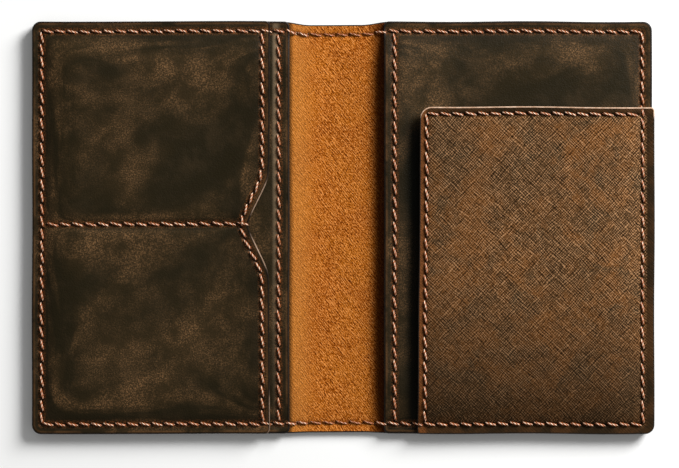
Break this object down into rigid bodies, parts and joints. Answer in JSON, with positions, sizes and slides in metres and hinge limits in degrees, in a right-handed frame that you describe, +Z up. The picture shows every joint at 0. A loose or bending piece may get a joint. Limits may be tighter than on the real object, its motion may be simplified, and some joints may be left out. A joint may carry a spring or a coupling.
{
  "type": "travel document organizer",
  "caption": "Bifold leather cover for a passport, with a sleeve in each half, card slots with a thumb notch and a ticket pocket.",
  "frame": {"origin": "middle of the underside of the cover, open flat", "axes": "+X to the half with the ticket pocket, +Y to the top edge, +Z up out of the inside; the fold runs along Y at x = 0"},
  "size_m": [0.2106, 0.14, 0.0071],
  "materials": {
    "cover_leather": "waxed pull-up, suede inside",
    "panel_leather": "waxed pull-up",
    "ticket_leather": "brushed pull-up",
    "seam_thread": "waxed twisted thread"
  },
  "bodies": {
    "right_half": {"outer_cover_right": "cover_leather", "right_sleeve_panel": "panel_leather", "right_sleeve_sewn_border": "panel_leather", "ticket_pocket_panel": "ticket_leather", "ticket_pocket_sewn_border": "ticket_leather", "right_perimeter_stitching": "seam_thread", "right_sleeve_stitching": "seam_thread", "ticket_pocket_stitching": "seam_thread"},
    "left_half": {"outer_cover_left": "cover_leather", "left_sleeve_panel": "panel_leather", "left_sleeve_sewn_border": "panel_leather", "card_slot_panel": "panel_leather", "card_slot_sewn_border": "panel_leather", "card_slot_divider_seam": "panel_leather", "left_perimeter_stitching": "seam_thread", "left_sleeve_stitching": "seam_thread", "card_mouth_stitching": "seam_thread", "card_divider_stitching": "seam_thread"},
    "spine_strip_1": {"outer_cover_spine_1": "cover_leather", "spine_stitching_1": "seam_thread"},
    "spine_strip_2": {"outer_cover_spine_2": "cover_leather", "spine_stitching_2": "seam_thread"},
    "spine_strip_3": {"outer_cover_spine_3": "cover_leather", "spine_stitching_3": "seam_thread"}
  },
  "joints": [
    {"name": "fold_1", "type": "hinge", "parent": "spine_strip_1", "child": "right_half", "pos_m": [0.0084, 0, 0.0016], "axis": [0, -1, 0], "range_deg": [0, 45]},
    {"name": "fold_2", "type": "hinge", "parent": "spine_strip_2", "child": "spine_strip_1", "pos_m": [0.0028, 0, 0.0016], "axis": [0, -1, 0], "range_deg": [0, 45]},
    {"name": "fold_3", "type": "hinge", "parent": "spine_strip_2", "child": "spine_strip_3", "pos_m": [-0.0028, 0, 0.0016], "axis": [0, 1, 0], "range_deg": [0, 45]},
    {"name": "fold_4", "type": "hinge", "parent": "spine_strip_3", "child": "left_half", "pos_m": [-0.0084, 0, 0.0016], "axis": [0, 1, 0], "range_deg": [0, 45]}
  ],
  "couplings": [
    {"joint": "fold_2", "follows": "fold_1", "ratio": 1},
    {"joint": "fold_3", "follows": "fold_1", "ratio": 1},
    {"joint": "fold_4", "follows": "fold_1", "ratio": 1}
  ]
}
